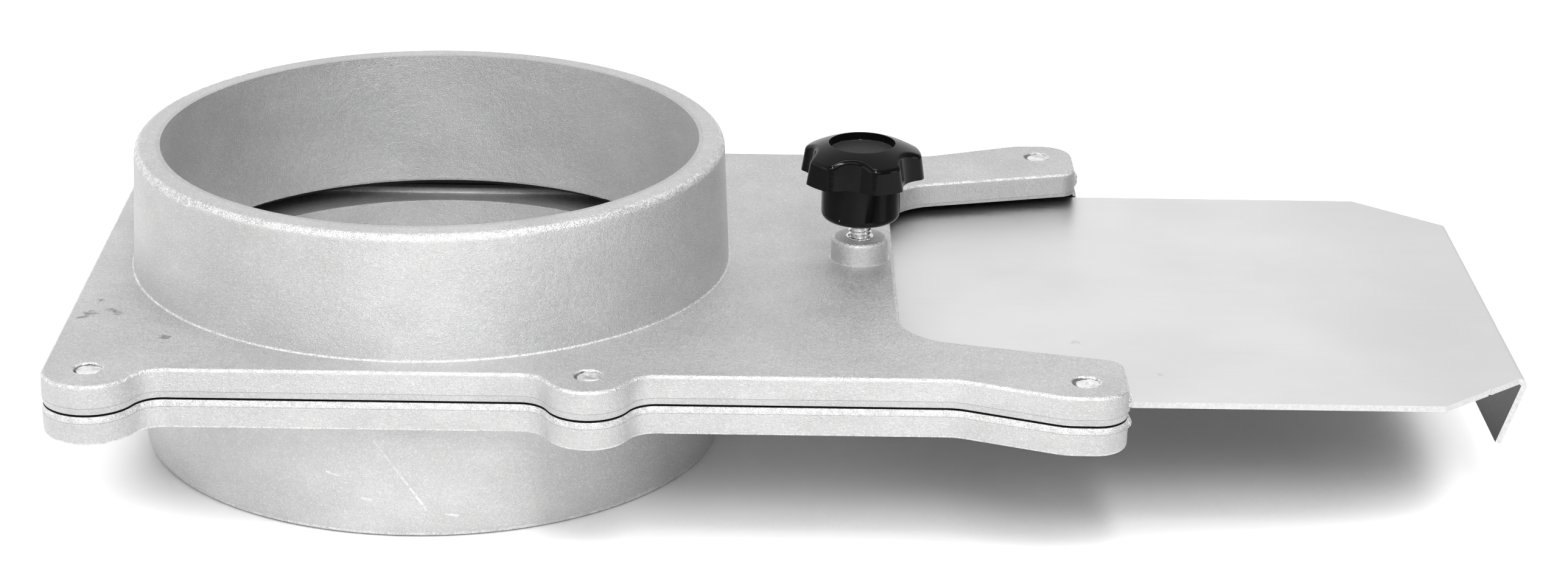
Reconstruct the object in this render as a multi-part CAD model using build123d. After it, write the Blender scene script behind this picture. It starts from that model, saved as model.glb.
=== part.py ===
from build123d import *
import os
from math import cos, radians, sin, sqrt, tan

# A blast gate: a blade that slides between two cast plates and shuts a duct.
# Millimetres and degrees. The origin is on the duct's axis, in the joint
# between the castings. +Z is the upper collar, +X is the blade's pull end.

# The duct and its collars
BORE_R = 67.5
COLLAR_BASE_WALL = 7.8
COLLAR_RIM_WALL = 6.4
COLLAR_LENGTH = 31.25
RIM_ROUND = 2.2

# The blade: a flat sheet with clipped corners and a lip bent down
BLADE_T = 1.5
BLADE_LAP = 5.5
OPEN_CLEAR = 1.0
SHUT_LAP = 2.5
INNER_CLIP = 3.0
CORNER_LENGTH = 23.7
CORNER_WIDTH = 18.0
LIP_STANDOFF = 14.3
LIP_DROP = 17.3
LIP_LEAN = 18.6
BEND_R = 2.0
NICK_ALONG = 16.4
NICK_R = 0.55

# The channel in the two castings that the blade runs in
UPPER_DEPTH = 1.0
LOWER_DEPTH = 2.6
SIDE_CLEAR = 0.7
END_CLEAR = 3.0
CHANNEL_CORNER_R = 2.0

# The relief round the upper bore's mouth
RELIEF_LAP = 4.5
RELIEF_DEPTH = 2.0
MOUTH_BEVEL = 0.8

# The plates of the castings
PLATE_T = 7.5
SIDE_WALL = 8.1
END_WALL = 11.5
PLATE_DRAFT = 1.5
PLATE_ROUND = 1.0
PARTING_RISE = 1.9
JOINT_DRAFT = 11.0
JOINT_GAP = 0.5
JOINT_SET_BACK = 2.0

# The lugs, ears and arms around the rivets
RIVET_OFF_CHANNEL = 8.2
LUG_R = 11.4
LUG_RIVET_IN = 11.0
EAR_R = 10.6
BLEND_R = 7.0
ARM_LENGTH = 52.3
ARM_RIVET_IN = 10.0
ARM_LAND = 9.8
FLARE_START = 12.0
FLARE_END = 15.2
FLARE_R = 12.0
SHOULDER_R = 14.0
TIP_R = 8.0
TIP_LAP = 5.7
INNER_TIP_R = 5.0
ROOT_LAP = 19.3
ROOT_R = 16.0

# The rivets that hold the castings together
RIVET_R = 3.2
RIVET_CLEAR = 0.05
RIVET_SUNK = 0.35
RIVET_END_ROUND = 0.4
MOUTH_CHAMFER = 0.45

# The boss for the lock screw
BOSS_OFF_BORE = 41.1
BOSS_R = 7.3
BOSS_HEIGHT = 5.8
BOSS_DRAFT = 1.5
BOSS_ROUND = 1.2
BOSS_EDGE = 1.6
FOOT_FILLET = 0.5

# The lock screw, an M6 stud with a star knob on it
SCREW_R = 3.0
SCREW_CLEAR = 0.05
SCREW_GAP = 0.3
SCREW_TIP_CHAMFER = 0.8
SCREW_IN_KNOB = 12.0
SCREW_END_CLEAR = 0.1
KNOB_LIFT = 5.1
HUB_R = 10.0
HUB_HEIGHT = 11.2
HUB_ROUND = 1.8
STAR_R = 15.9
STAR_LOBES = 5
STAR_TURN = 24.0
STAR_HEIGHT = 8.75
STAR_DRAFT = 8.0
STAR_CORNER_SHARE = 0.15
STAR_ROUND_SHARE = 0.1
SCALLOP_SHARE = 0.43
SCALLOP_DEPTH_SHARE = 0.195
DOME_R = 31.0
DISH_LAND = 1.58
DISH_DEPTH = 2.2
DISH_ROUND = 0.4

# What follows from the sizes above
BLADE_HALF = BORE_R + BLADE_LAP
CHANNEL_HALF = BLADE_HALF + SIDE_CLEAR
CHANNEL_END_X = -(BORE_R + SHUT_LAP + END_CLEAR)
SIDE_Y = CHANNEL_HALF + SIDE_WALL
LEFT_X = CHANNEL_END_X - END_WALL
BOSS_X = BORE_R + BOSS_OFF_BORE
RIGHT_X = BOSS_X + BOSS_R + BOSS_EDGE
ARM_END_X = RIGHT_X + ARM_LENGTH
RIVET_Y = CHANNEL_HALF + RIVET_OFF_CHANNEL
RIVET_LEFT_X = LEFT_X + LUG_RIVET_IN
RIVET_ARM_X = ARM_END_X - ARM_RIVET_IN
RIVET_MIDDLE_X = (RIVET_LEFT_X + RIVET_ARM_X) / 2
RIVET_PLACES = {"left": RIVET_LEFT_X, "middle": RIVET_MIDDLE_X, "arm": RIVET_ARM_X}
RIM_Z = PLATE_T + COLLAR_LENGTH
TRAVEL = 2 * BORE_R + OPEN_CLEAR + SHUT_LAP
BLADE_END_X = BORE_R + OPEN_CLEAR
BEND_X = RIGHT_X + LIP_STANDOFF + TRAVEL
CORNER_X = BEND_X - CORNER_LENGTH
LIP_HALF = BLADE_HALF - CORNER_WIDTH
BLADE_TOP_Z = BLADE_T - LOWER_DEPTH
RELIEF_Z = UPPER_DEPTH + RELIEF_DEPTH
HUB_Z = PLATE_T + BOSS_HEIGHT + KNOB_LIFT
STAR_Z = HUB_Z + HUB_HEIGHT
STAR_CORNER_R = STAR_R * STAR_CORNER_SHARE
STAR_TOP_ROUND = STAR_R * STAR_ROUND_SHARE
STAR_DRAW_IN = STAR_HEIGHT * tan(radians(STAR_DRAFT))
SCALLOP_R = STAR_R * SCALLOP_SHARE
SCALLOP_DEPTH = STAR_R * SCALLOP_DEPTH_SHARE
DISH_R = STAR_R - SCALLOP_DEPTH - STAR_DRAW_IN - STAR_TOP_ROUND - DISH_LAND
SCREW_TIP_Z = BLADE_TOP_Z + SCREW_GAP


def arc_about(centre, start, end):
    """The short arc from start to end around a centre."""
    middle = (start - centre) + (end - centre)
    return ThreePointArc(start, centre + middle.normalized() * (start - centre).length, end)


def blend_places(x, radius, side):
    """Where a bump's blend leaves the plate's side, its centre, and where it meets the bump."""
    rise = SIDE_Y + BLEND_R - RIVET_Y
    reach = side * sqrt((radius + BLEND_R) ** 2 - rise ** 2)
    bump = Vector(x, -RIVET_Y)
    centre = Vector(x + reach, -(SIDE_Y + BLEND_R))
    meets = bump + (centre - bump).normalized() * radius
    return Vector(x + reach, -SIDE_Y), centre, meets


def bump_tip(x, radius):
    return Vector(x, -(RIVET_Y + radius))


def front_outline():
    """The plate's edge from the middle of its left end, round the front, to its right end."""
    lug_x = LEFT_X + LUG_R
    lug_top = Vector(LEFT_X, -RIVET_Y)
    lug_foot, lug_centre, lug_meets = blend_places(lug_x, LUG_R, 1)
    ear_in, in_centre, in_meets = blend_places(RIVET_MIDDLE_X, EAR_R, -1)
    ear_out, out_centre, out_meets = blend_places(RIVET_MIDDLE_X, EAR_R, 1)
    arm_tip_y = -(RIVET_Y + ARM_LAND)
    arm = FilletPolyline(
        ear_out,
        (RIGHT_X + FLARE_START, -SIDE_Y),
        (ARM_END_X - FLARE_END, arm_tip_y),
        (ARM_END_X, arm_tip_y),
        (ARM_END_X, -(CHANNEL_HALF - TIP_LAP)),
        (RIGHT_X, -(CHANNEL_HALF - ROOT_LAP)),
        (RIGHT_X, 0),
        radius=[FLARE_R, SHOULDER_R, TIP_R, INNER_TIP_R, ROOT_R],
    )
    return [
        Line((LEFT_X, 0), lug_top),
        ThreePointArc(lug_top, bump_tip(lug_x, LUG_R), lug_meets),
        arc_about(lug_centre, lug_meets, lug_foot),
        Line(lug_foot, ear_in),
        arc_about(in_centre, ear_in, in_meets),
        ThreePointArc(in_meets, bump_tip(RIVET_MIDDLE_X, EAR_R), out_meets),
        arc_about(out_centre, out_meets, ear_out),
        arm,
    ]


def plate_outline():
    front = Curve() + front_outline()
    return make_face(front + mirror(front, about=Plane.XZ))


def plate():
    """A plate with draft both ways from its parting line, and a rounded outer edge.

    The castings meet on a land set back from that edge, which leaves a gap all round the joint.
    """
    outline = plate_outline()
    parting = Plane.XY.offset(PARTING_RISE) * outline
    outer = extrude(parting, PLATE_T - PARTING_RISE, dir=(0, 0, 1), taper=PLATE_DRAFT)
    inner = extrude(parting, PARTING_RISE - JOINT_GAP / 2, dir=(0, 0, -1), taper=JOINT_DRAFT)
    land = extrude(offset(outline, -JOINT_SET_BACK), PARTING_RISE)
    rim = outer.faces().sort_by(Axis.Z)[-1].outer_wire().edges()
    return fillet(rim, PLATE_ROUND) + inner + land


def cone(foot_z, foot_r, top_z, top_r):
    """A tapered round solid about the Z axis."""
    height = top_z - foot_z
    return Pos(0, 0, foot_z) * Cone(foot_r, top_r, height, align=(Align.CENTER, Align.CENTER, Align.MIN))


def rod(foot_z, top_z, radius):
    """A round solid about the Z axis."""
    height = top_z - foot_z
    return Pos(0, 0, foot_z) * Cylinder(radius, height, align=(Align.CENTER, Align.CENTER, Align.MIN))


def collar():
    """A duct collar: drafted outside, with a rounded rim. The bore is cut later."""
    base_r = BORE_R + COLLAR_BASE_WALL
    rim_r = BORE_R + COLLAR_RIM_WALL
    foot = (base_r + 2 * FOOT_FILLET, PLATE_T)
    root = (base_r + 2 * FOOT_FILLET, PARTING_RISE)
    outside = FilletPolyline(foot, (base_r, PLATE_T), (rim_r, RIM_Z), (0, RIM_Z), radius=[FOOT_FILLET, RIM_ROUND])
    inside = Polyline((0, RIM_Z), (0, PARTING_RISE), root, foot)
    return revolve(Plane.XZ * make_face(Curve() + [outside, inside]), Axis.Z)


def boss():
    """The round boss that the lock screw is threaded through. Its hole is cut later."""
    slope = tan(radians(BOSS_DRAFT))
    root_r = BOSS_R + (PLATE_T - UPPER_DEPTH) * slope
    body = cone(UPPER_DEPTH, root_r, PLATE_T + BOSS_HEIGHT, BOSS_R - BOSS_HEIGHT * slope)
    return Pos(BOSS_X, 0, 0) * fillet(body.faces().sort_by(Axis.Z)[-1].edges(), BOSS_ROUND)


def channel(depth):
    """The blade's channel, open to the joint below it."""
    length = ARM_END_X + END_WALL - CHANNEL_END_X
    width = 2 * CHANNEL_HALF
    box = Box(length, width, depth, align=(Align.MIN, Align.CENTER, Align.MIN))
    corners = box.edges().filter_by(Axis.Z).sort_by(Axis.X)[:2]
    return Pos(CHANNEL_END_X, 0, 0) * fillet(corners, CHANNEL_CORNER_R)


def rivet_hole():
    """A rivet's hole in one casting, with a chamfered mouth in the outer face."""
    hole_r = RIVET_R + RIVET_CLEAR
    mouth = cone(PLATE_T - MOUTH_CHAMFER, hole_r, PLATE_T, hole_r + MOUTH_CHAMFER)
    return rod(0, PLATE_T, hole_r) + mouth


def relief():
    """The wider ring round the upper bore's mouth, and the bevel above it."""
    bevel = cone(RELIEF_Z, BORE_R + MOUTH_BEVEL, RELIEF_Z + MOUTH_BEVEL, BORE_R)
    return rod(0, RELIEF_Z, BORE_R + RELIEF_LAP) + bevel


def casting(body, depth):
    """One half of the housing: its body with the bore, the channel and the rivet holes cut."""
    body -= rod(0, RIM_Z, BORE_R)
    body -= channel(depth)
    for x in RIVET_PLACES.values():
        body -= Pos(x, RIVET_Y, 0) * rivet_hole()
        body -= Pos(x, -RIVET_Y, 0) * rivet_hole()
    return body


def upper_casting():
    """The upper half: it also has the boss with its screw hole, and the relief."""
    screw_hole = rod(0, PLATE_T + BOSS_HEIGHT, SCREW_R + SCREW_CLEAR)
    body = casting(plate() + collar() + boss(), UPPER_DEPTH)
    return body - relief() - Pos(BOSS_X, 0, 0) * screw_hole


def lower_casting():
    return mirror(casting(plate() + collar(), LOWER_DEPTH), about=Plane.XY)


def blade_section():
    """The blade seen from the front: a long flat, a bend, and a lip that leans inwards."""
    turn = 90 + LIP_LEAN
    down = Vector(-sin(radians(LIP_LEAN)), -cos(radians(LIP_LEAN)))
    inwards = Vector(-cos(radians(LIP_LEAN)), sin(radians(LIP_LEAN)))
    corner = Vector(BEND_X, BLADE_TOP_Z)
    lip_end = corner + down * (LIP_DROP / cos(radians(LIP_LEAN)))
    inner_corner = corner - Vector(BLADE_T * tan(radians(turn / 2)), BLADE_T)
    inner_end = lip_end + inwards * BLADE_T
    start = Vector(BLADE_END_X, BLADE_TOP_Z)
    inner_start = Vector(BLADE_END_X, BLADE_TOP_Z - BLADE_T)
    outside = FilletPolyline(start, corner, lip_end, radius=BEND_R)
    inside = FilletPolyline(inner_start, inner_corner, inner_end, radius=BEND_R - BLADE_T)
    return make_face(Curve() + [outside, Line(lip_end, inner_end), inside, Line(inner_start, start)])


def bend_reach():
    """How far the bend reaches back from the corner that it rounds."""
    return BEND_R * tan(radians((90 + LIP_LEAN) / 2))


def blade_outline():
    """The blade seen from above. Its clipped corners end where the bend starts."""
    front = [
        (BLADE_END_X, -(BLADE_HALF - INNER_CLIP)),
        (BLADE_END_X + INNER_CLIP, -BLADE_HALF),
        (CORNER_X, -BLADE_HALF),
        (BEND_X - bend_reach(), -LIP_HALF),
        (BEND_X, -LIP_HALF),
    ]
    back = [(x, -y) for x, y in reversed(front)]
    return make_face(Polyline(front + back, close=True))


def blade():
    """The sheet blade, drawn out to the open position, with the nick in its front corner."""
    flat = Pos(0, 0, -LOWER_DEPTH) * extrude(blade_outline(), BLADE_T)
    lip_length = LIP_DROP + BEND_X - CORNER_X
    lip = Pos(BEND_X, 0, BLADE_TOP_Z) * Box(2 * (BEND_X - CORNER_X), 2 * LIP_HALF, 2 * lip_length)
    sheet = extrude(Plane.XZ * blade_section(), BLADE_HALF, both=True) & (flat + lip)
    run = BEND_X - bend_reach() - CORNER_X
    along = Vector(run, CORNER_WIDTH).normalized() * NICK_ALONG
    nick = Pos(CORNER_X + along.X, along.Y - BLADE_HALF, 0) * Cylinder(NICK_R, 2 * LOWER_DEPTH + BLADE_T)
    return sheet - nick


def rivet():
    """A solid rivet, its ends set just below the castings' faces."""
    end_z = PLATE_T - RIVET_SUNK
    shank = rod(-end_z, end_z, RIVET_R)
    return fillet(shank.edges().filter_by(GeomType.CIRCLE), RIVET_END_ROUND)


def lock_screw():
    """The stud of the lock screw. Its thread is left out."""
    stud = rod(SCREW_TIP_Z, HUB_Z + SCREW_IN_KNOB, SCREW_R)
    tip = stud.edges().filter_by(GeomType.CIRCLE).sort_by(Axis.Z)[:1]
    return Pos(BOSS_X, 0, 0) * chamfer(tip, SCREW_TIP_CHAMFER)


def star():
    """The knob's star: a drafted round with a scallop between each two lobes."""
    top_z = STAR_Z + STAR_HEIGHT
    body = cone(STAR_Z, STAR_R, top_z, STAR_R - STAR_DRAW_IN)
    scallop = cone(STAR_Z, SCALLOP_R, top_z, SCALLOP_R + STAR_DRAW_IN)
    reach = STAR_R - SCALLOP_DEPTH + SCALLOP_R
    for lobe in range(STAR_LOBES):
        angle = STAR_TURN - 90 + (lobe + 0.5) * 360 / STAR_LOBES
        body -= Rot(0, 0, angle) * Pos(reach, 0, 0) * scallop
    corners = [edge for edge in body.edges() if edge.bounding_box().size.Z > STAR_HEIGHT / 2]
    body = fillet(corners, STAR_CORNER_R)
    dome_z = top_z - sqrt(DOME_R ** 2 - DISH_R ** 2)
    body &= Pos(0, 0, dome_z) * Rot(0, 90, 0) * Sphere(DOME_R)
    return fillet(body.faces().filter_by(GeomType.SPHERE)[0].edges(), STAR_TOP_ROUND)


def star_knob():
    """The moulded knob: the star on a round hub, with a dished top and a blind hole for the stud."""
    top_z = STAR_Z + STAR_HEIGHT
    hub = rod(HUB_Z, STAR_Z, HUB_R)
    knob = star() + fillet(hub.edges().filter_by(GeomType.CIRCLE).sort_by(Axis.Z)[:1], HUB_ROUND)
    knob -= rod(top_z - DISH_DEPTH, top_z + DISH_DEPTH, DISH_R)
    rim = knob.edges().filter_by(GeomType.CIRCLE).sort_by(Axis.Z)[-1]
    knob = fillet(rim, DISH_ROUND)
    knob -= rod(HUB_Z, HUB_Z + SCREW_IN_KNOB + SCREW_END_CLEAR, SCREW_R + SCREW_CLEAR)
    return Pos(BOSS_X, 0, 0) * knob


def pieces():
    """Every piece of the gate by its name."""
    found = {
        "upper_casting": upper_casting(),
        "lower_casting": lower_casting(),
        "blade": blade(),
        "lock_screw": lock_screw(),
        "star_knob": star_knob(),
    }
    for place, x in RIVET_PLACES.items():
        found["rivet_front_" + place] = Pos(x, -RIVET_Y, 0) * rivet()
        found["rivet_back_" + place] = Pos(x, RIVET_Y, 0) * rivet()
    return found


os.makedirs("parts", exist_ok=True)
for name, piece in pieces().items():
    export_step(piece, "parts/" + name + ".step")
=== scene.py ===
# %% [markdown]
# # A blast gate, dressed
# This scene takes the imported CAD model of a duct's blast gate and gives it its looks. The CAD
# model holds every size, so the script first loads it and keeps the box that it fills.

# %% Load the frame
from math import cos, pi, radians, sin

import bmesh
import bpy
from mathutils import Matrix, Vector


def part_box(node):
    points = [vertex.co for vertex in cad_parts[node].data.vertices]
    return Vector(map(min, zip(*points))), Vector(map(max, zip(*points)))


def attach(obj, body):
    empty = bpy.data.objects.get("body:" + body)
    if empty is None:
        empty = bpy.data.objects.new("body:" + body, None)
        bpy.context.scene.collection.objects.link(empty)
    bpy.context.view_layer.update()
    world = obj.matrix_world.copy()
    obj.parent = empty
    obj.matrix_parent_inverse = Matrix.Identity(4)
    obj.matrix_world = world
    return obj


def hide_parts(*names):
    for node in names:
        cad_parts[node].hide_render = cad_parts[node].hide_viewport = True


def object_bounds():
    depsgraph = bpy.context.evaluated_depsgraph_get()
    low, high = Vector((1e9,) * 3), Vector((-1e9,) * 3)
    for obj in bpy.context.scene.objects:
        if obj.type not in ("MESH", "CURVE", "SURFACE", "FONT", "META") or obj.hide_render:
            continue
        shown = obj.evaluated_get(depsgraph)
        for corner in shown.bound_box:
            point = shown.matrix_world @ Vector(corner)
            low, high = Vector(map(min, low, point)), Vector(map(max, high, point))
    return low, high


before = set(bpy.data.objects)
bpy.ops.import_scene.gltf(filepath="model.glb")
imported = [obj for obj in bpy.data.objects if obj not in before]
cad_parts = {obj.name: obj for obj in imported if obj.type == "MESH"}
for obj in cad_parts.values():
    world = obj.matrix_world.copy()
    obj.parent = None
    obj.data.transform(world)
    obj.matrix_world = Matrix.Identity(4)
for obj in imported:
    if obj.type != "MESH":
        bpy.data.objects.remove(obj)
cad_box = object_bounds()
MM = 0.001
print("nodes:", sorted(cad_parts))
print("CAD box in mm:", [round(c / MM, 1) for corner in cad_box for c in corner])

# %% [markdown]
# ## The camera
# The photograph was taken from the front, about 21 degrees above the gate and close to level.
# The numbers come from matching the collar's circles and the rivets with the CAD model. The
# image is 2576 pixels wide, so a focal length in pixels becomes a lens on a 36 mm sensor.

# %% Camera
IMAGE_WIDTH = 2576
SENSOR_MM = 36.0
FOCAL_PIXELS = 5823.0
CAMERA_PLACE = Vector((0.079295, -0.848498, 0.322467))
CAMERA_PITCH = radians(20.913)
CAMERA_YAW = radians(0.693)
CAMERA_ROLL = radians(1.056)


def camera_turn(pitch, yaw, roll):
    """The camera's rotation from its pitch down, its yaw to the right and its roll."""
    ahead = Vector((sin(yaw) * cos(pitch), cos(yaw) * cos(pitch), -sin(pitch)))
    level = ahead.cross(Vector((0, 0, 1))).normalized()
    above = level.cross(ahead)
    right = level * cos(roll) + above * sin(roll)
    up = above * cos(roll) - level * sin(roll)
    return Matrix((right, up, -ahead)).transposed().to_euler()


lens = bpy.data.cameras.new("photo_camera")
lens.sensor_width = SENSOR_MM
lens.lens = FOCAL_PIXELS / IMAGE_WIDTH * SENSOR_MM
camera = bpy.data.objects.new("photo_camera", lens)
camera.location = CAMERA_PLACE
camera.rotation_euler = camera_turn(CAMERA_PITCH, CAMERA_YAW, CAMERA_ROLL)
bpy.context.scene.collection.objects.link(camera)
bpy.context.scene.camera = camera
print("lens in mm:", round(lens.lens, 2))

# %% [markdown]
# ## Helpers for node trees
# Materials and geometry are both built as node trees. One small helper adds a node, sets its
# options and fills its inputs, either with a value or with a link from another node.

# %% Node helpers
def add(tree, kind, inputs=None, **options):
    """Adds a node, sets its options, and fills its inputs with values or links."""
    made = tree.nodes.new(kind)
    for name, value in options.items():
        setattr(made, name, value)
    for name, value in (inputs or {}).items():
        if isinstance(value, bpy.types.NodeSocket):
            tree.links.new(value, made.inputs[name])
        else:
            made.inputs[name].default_value = value
    return made


def calc(tree, operation, *values, clamp=False):
    """One step of arithmetic on numbers."""
    made = add(tree, "ShaderNodeMath", dict(enumerate(values)), operation=operation)
    made.use_clamp = clamp
    return made.outputs[0]


def vector_calc(tree, operation, *values, output=0):
    """One step of arithmetic on vectors."""
    made = add(tree, "ShaderNodeVectorMath", dict(enumerate(values)), operation=operation)
    return made.outputs[output]


def product(tree, first, *others):
    """Several numbers multiplied, one after another."""
    for other in others:
        first = calc(tree, "MULTIPLY", first, other)
    return first


def split(tree, vector):
    """The X, Y and Z of a vector."""
    return add(tree, "ShaderNodeSeparateXYZ", {"Vector": vector}).outputs


def join(tree, x, y, z=0.0):
    """A vector from its X, Y and Z."""
    return add(tree, "ShaderNodeCombineXYZ", {"X": x, "Y": y, "Z": z}).outputs[0]


def length(tree, vector):
    """The length of a vector."""
    return vector_calc(tree, "LENGTH", vector, output="Value")


def noise(tree, vector, scale, detail):
    """Smooth noise, from 0 to 1, mostly near the middle. The scale is per metre."""
    inputs = {"Vector": vector, "Scale": scale, "Detail": detail}
    return add(tree, "ShaderNodeTexNoise", inputs).outputs["Fac"]


def cells(tree, vector, scale):
    """Voronoi cells: a random number for each, and the distance from its middle."""
    made = add(tree, "ShaderNodeTexVoronoi", {"Vector": vector, "Scale": scale}).outputs
    chance = add(tree, "ShaderNodeSeparateColor", {"Color": made["Color"]}).outputs[0]
    return chance, made["Distance"]


def remap(tree, value, low, high, to_low=0.0, to_high=1.0):
    """Spreads a value from one range to another, smoothly, and stops at the ends."""
    made = add(tree, "ShaderNodeMapRange", {"Value": value, "From Min": low, "From Max": high})
    made.interpolation_type = "SMOOTHSTEP"
    made.inputs["To Min"].default_value = to_low
    made.inputs["To Max"].default_value = to_high
    return made.outputs["Result"]


def blend_colour(tree, share, first, second):
    """Goes from the first colour to the second as the share goes from 0 to 1."""
    made = tree.nodes.new("ShaderNodeMix")
    made.data_type = "RGBA"
    sockets = {"Factor_Float": share, "A_Color": first, "B_Color": second}
    for name, value in sockets.items():
        socket = next(s for s in made.inputs if s.identifier == name)
        if isinstance(value, bpy.types.NodeSocket):
            tree.links.new(value, socket)
        else:
            socket.default_value = value
    return next(s for s in made.outputs if s.identifier == "Result_Color")


def grey(level):
    """A neutral colour with full alpha."""
    return (level, level, level, 1.0)


def paint(tree, colour, layers):
    """Lays colours over a first one, each by its mask times its share."""
    for mask, share, over in layers:
        colour = blend_colour(tree, calc(tree, "MULTIPLY", mask, share), colour, over)
    return colour


def new_group(name, inputs, outputs, kind="ShaderNodeTree"):
    """An empty node group with named inputs and outputs, and its two end nodes."""
    tree = bpy.data.node_groups.new(name, kind)
    for label, (socket, value) in inputs.items():
        made = tree.interface.new_socket(name=label, in_out="INPUT", socket_type=socket)
        if value is not None:
            made.default_value = value
    for label, socket in outputs.items():
        tree.interface.new_socket(name=label, in_out="OUTPUT", socket_type=socket)
    start = tree.nodes.new("NodeGroupInput").outputs
    end = tree.nodes.new("NodeGroupOutput").inputs
    return tree, start, end


def place_group(tree, group, inputs):
    """Puts a node group into a tree and fills its named inputs."""
    return add(tree, "ShaderNodeGroup", inputs, node_tree=group).outputs


FLOAT = "NodeSocketFloat"
VECTOR = "NodeSocketVector"
print("helpers ready")

# %% [markdown]
# ## Effects that several finishes share
# A sand or die cast skin is a fine, sparkling grain over soft clouds of light and dark. The
# grain is used on all the metals and the plastic, so it is one group; on the castings its facets
# are painted bright as glints. A second group scatters small specks, which the castings, the
# sheet and the knob all carry. A third makes a soft blot at one place, a fourth a scratch from
# one place to another, and a fifth a thin ring where a round part meets the plate, which the
# castings paint as a highlight. Their spacings, radii and widths are in metres.

# %% Grain group
def make_grain():
    """Fine grain: a height, a cloudy shade, and a mask of facets for painted glints."""
    tree, start, end = new_group(
        "metal_grain",
        {"Vector": (VECTOR, None), "Grain": (FLOAT, 0.0006), "Cloud": (FLOAT, 0.02)},
        {"Height": FLOAT, "Shade": FLOAT, "Painted_glints": FLOAT},
    )
    per_grain = calc(tree, "DIVIDE", 1.0, start["Grain"])
    per_cloud = calc(tree, "DIVIDE", 1.0, start["Cloud"])
    glint, _ = cells(tree, start["Vector"], per_grain)
    tree.links.new(noise(tree, start["Vector"], per_grain, 2.0), end["Height"])
    tree.links.new(noise(tree, start["Vector"], per_cloud, 4.0), end["Shade"])
    tree.links.new(remap(tree, glint, 0.72, 1.0), end["Painted_glints"])
    return tree


METAL_GRAIN = make_grain()

# %% Speck group
def make_specks():
    """Small round specks, thinly and unevenly scattered."""
    tree, start, end = new_group(
        "scattered_specks",
        {
            "Vector": (VECTOR, None),
            "Spacing": (FLOAT, 0.01),
            "Size": (FLOAT, 0.1),
            "Share": (FLOAT, 0.2),
        },
        {"Mask": FLOAT},
    )
    chance, distance = cells(tree, start["Vector"], calc(tree, "DIVIDE", 1.0, start["Spacing"]))
    chosen = calc(tree, "LESS_THAN", chance, start["Share"])
    size = product(tree, start["Size"], calc(tree, "ADD", 0.4, chance))
    edge = calc(tree, "DIVIDE", distance, size)
    tree.links.new(product(tree, remap(tree, edge, 1.0, 0.6), chosen), end["Mask"])
    return tree


SCATTERED_SPECKS = make_specks()

# %% Blot group
def make_blot():
    """A soft blot with a ragged edge around one place."""
    tree, start, end = new_group(
        "ragged_blot",
        {
            "Vector": (VECTOR, None),
            "Centre": (VECTOR, (0, 0, 0)),
            "Radius": (FLOAT, 0.005),
            "Rag": (FLOAT, 0.5),
        },
        {"Mask": FLOAT},
    )
    uneven = noise(tree, start["Vector"], calc(tree, "DIVIDE", 1.5, start["Radius"]), 3.0)
    far = vector_calc(tree, "DISTANCE", start["Vector"], start["Centre"], output="Value")
    share = calc(tree, "DIVIDE", far, start["Radius"])
    push = product(tree, calc(tree, "SUBTRACT", uneven, 0.5), start["Rag"], 4.0)
    tree.links.new(remap(tree, calc(tree, "ADD", share, push), 1.0, 0.2), end["Mask"])
    return tree


RAGGED_BLOT = make_blot()

# %% Scratch group
def make_scratch():
    """A thin broken line from one place to another."""
    tree, start, end = new_group(
        "thin_scratch",
        {
            "Vector": (VECTOR, None),
            "From": (VECTOR, (0, 0, 0)),
            "To": (VECTOR, (1, 0, 0)),
            "Width": (FLOAT, 0.0004),
        },
        {"Mask": FLOAT},
    )
    run = vector_calc(tree, "SUBTRACT", start["To"], start["From"])
    reach = vector_calc(tree, "SUBTRACT", start["Vector"], start["From"])
    along = calc(
        tree,
        "DIVIDE",
        vector_calc(tree, "DOT_PRODUCT", reach, run, output="Value"),
        vector_calc(tree, "DOT_PRODUCT", run, run, output="Value"),
        clamp=True,
    )
    nearest = add(tree, "ShaderNodeVectorMath", {0: run, "Scale": along}, operation="SCALE")
    off = vector_calc(tree, "DISTANCE", reach, nearest.outputs[0], output="Value")
    line = remap(tree, calc(tree, "DIVIDE", off, start["Width"]), 1.0, 0.3)
    kept = remap(tree, noise(tree, start["Vector"], 900.0, 2.0), 0.35, 0.6)
    tree.links.new(product(tree, line, kept), end["Mask"])
    return tree


THIN_SCRATCH = make_scratch()

# %% Ring group
def make_ring():
    """A thin ring around an upright axis, between two heights, broken here and there."""
    tree, start, end = new_group(
        "broken_ring",
        {
            "Vector": (VECTOR, None),
            "Centre": (VECTOR, (0, 0, 0)),
            "Radius": (FLOAT, 0.01),
            "Width": (FLOAT, 0.0005),
            "Height": (FLOAT, 0.001),
        },
        {"Mask": FLOAT},
    )
    off = vector_calc(tree, "SUBTRACT", start["Vector"], start["Centre"])
    out = length(tree, vector_calc(tree, "MULTIPLY", off, (1.0, 1.0, 0.0)))
    aside = calc(tree, "ABSOLUTE", calc(tree, "SUBTRACT", out, start["Radius"]))
    line = remap(tree, calc(tree, "DIVIDE", aside, start["Width"]), 1.0, 0.4)
    rise = calc(tree, "ABSOLUTE", split(tree, off)["Z"])
    near = calc(tree, "LESS_THAN", rise, start["Height"])
    kept = remap(tree, noise(tree, start["Vector"], 400.0, 2.0), 0.3, 0.5)
    tree.links.new(product(tree, line, near, kept), end["Mask"])
    return tree


BROKEN_RING = make_ring()
print("groups:", [g.name for g in bpy.data.node_groups])

# %% [markdown]
# ## Starting a finish
# Every finish reads Object coordinates, which are metres in the gate's own frame, because each
# piece's object sits at the origin. So a grain of 0.6 mm is 0.6 mm on every piece.

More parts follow.
